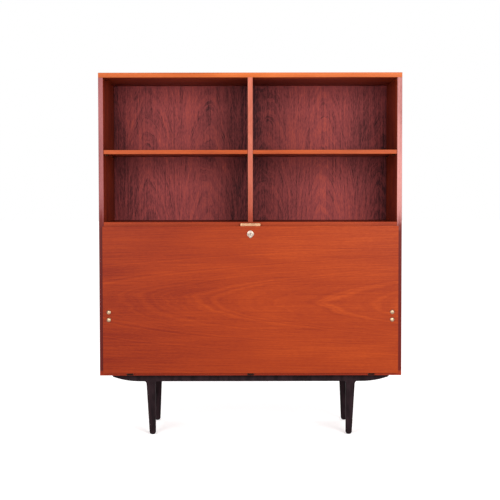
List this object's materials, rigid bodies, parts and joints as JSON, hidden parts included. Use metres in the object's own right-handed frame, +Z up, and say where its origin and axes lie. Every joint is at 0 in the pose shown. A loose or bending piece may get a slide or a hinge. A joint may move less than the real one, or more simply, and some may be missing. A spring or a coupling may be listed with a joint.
{
  "type": "secretary desk",
  "caption": "Teak secretary desk: open bookcase with loose shelves above a drop-front writing flap on hinges and sliding stays, on a dark four-legged base.",
  "frame": {"origin": "on the floor, under the centre of the whole desk", "axes": "+X to the right seen from the front, +Y to the back, +Z up"},
  "size_m": [1.2, 0.434, 1.444],
  "materials": {
    "teak": "oiled teak veneer, satin",
    "teak_back": "dark figured teak veneer, satin",
    "teak_inside": "teak, matt",
    "base_stain": "dark-stained hardwood, satin",
    "brass": "polished brass",
    "steel": "plain steel"
  },
  "bodies": {
    "case": {"top_board": "teak", "bottom_board": "teak", "side_left": "teak", "side_right": "teak", "desk_board": "teak", "upper_divider": "teak", "back_panel": "teak_back", "strike_plate": "brass", "shelf_left": "teak", "shelf_right": "teak", "shelf_pin_left_outer_front": "brass", "shelf_pin_left_outer_rear": "brass", "shelf_pin_left_inner_front": "brass", "shelf_pin_left_inner_rear": "brass", "shelf_pin_right_outer_front": "brass", "shelf_pin_right_outer_rear": "brass", "shelf_pin_right_inner_front": "brass", "shelf_pin_right_inner_rear": "brass", "rail_front": "base_stain", "rail_rear": "base_stain", "rail_cross_left": "base_stain", "rail_cross_right": "base_stain", "leg_front_left": "base_stain", "leg_front_right": "base_stain", "leg_rear_left": "base_stain", "leg_rear_right": "base_stain", "inner_shelf": "teak_inside", "partition_left": "teak_inside", "partition_right": "teak_inside", "hinge_leaf_case_left": "brass", "hinge_leaf_case_centre": "brass", "hinge_leaf_case_right": "brass", "hinge_pin_left": "steel", "hinge_pin_centre": "steel", "hinge_pin_right": "steel"},
    "flap": {"flap_panel": "teak", "flap_pull": "brass", "escutcheon": "brass", "lock_case": "brass", "hinge_leaf_flap_left": "brass", "hinge_leaf_flap_centre": "brass", "hinge_leaf_flap_right": "brass", "stay_bracket_left": "brass", "stay_bolt_left_lower": "brass", "stay_bolt_left_upper": "brass", "stay_bracket_right": "brass", "stay_bolt_right_lower": "brass", "stay_bolt_right_upper": "brass"},
    "lock_bolt": {"lock_bolt": "steel"},
    "stay_arm_left": {"stay_arm_left": "brass"},
    "stay_guide_left": {"stay_guide_left": "brass"},
    "drawer_left": {"drawer_left_front": "teak_inside", "drawer_left_walls": "teak_inside", "drawer_left_bottom": "teak_inside"},
    "stay_arm_right": {"stay_arm_right": "brass"},
    "stay_guide_right": {"stay_guide_right": "brass"},
    "drawer_right": {"drawer_right_front": "teak_inside", "drawer_right_walls": "teak_inside", "drawer_right_bottom": "teak_inside"}
  },
  "joints": [
    {"name": "flap_hinge", "type": "hinge", "parent": "case", "child": "flap", "pos_m": [0, -0.197, 0.251], "axis": [1, 0, 0], "range_deg": [0, 90]},
    {"name": "lock_bolt_slide", "type": "slide", "parent": "flap", "child": "lock_bolt", "axis": [0, 0, 1], "range_m": [0, 0.008]},
    {"name": "stay_arm_pivot_left", "type": "hinge", "parent": "flap", "child": "stay_arm_left", "pos_m": [-0.573, -0.174, 0.456], "axis": [1, 0, 0], "range_deg": [-45, 0]},
    {"name": "stay_guide_swivel_left", "type": "hinge", "parent": "case", "child": "stay_guide_left", "pos_m": [-0.573, -0.13188, 0.44674], "axis": [1, 0, 0], "range_deg": [0, 45]},
    {"name": "drawer_slide_left", "type": "slide", "parent": "case", "child": "drawer_left", "axis": [0, -1, 0], "range_m": [0, 0.13]},
    {"name": "stay_arm_pivot_right", "type": "hinge", "parent": "flap", "child": "stay_arm_right", "pos_m": [0.573, -0.174, 0.456], "axis": [1, 0, 0], "range_deg": [-45, 0]},
    {"name": "stay_guide_swivel_right", "type": "hinge", "parent": "case", "child": "stay_guide_right", "pos_m": [0.573, -0.13188, 0.44674], "axis": [1, 0, 0], "range_deg": [0, 45]},
    {"name": "drawer_slide_right", "type": "slide", "parent": "case", "child": "drawer_right", "axis": [0, -1, 0], "range_m": [0, 0.13]}
  ],
  "couplings": [
    {"joint": "stay_arm_pivot_left", "follows": "flap_hinge", "ratio": -0.5},
    {"joint": "stay_guide_swivel_left", "follows": "flap_hinge", "ratio": 0.5},
    {"joint": "stay_arm_pivot_right", "follows": "flap_hinge", "ratio": -0.5},
    {"joint": "stay_guide_swivel_right", "follows": "flap_hinge", "ratio": 0.5}
  ]
}
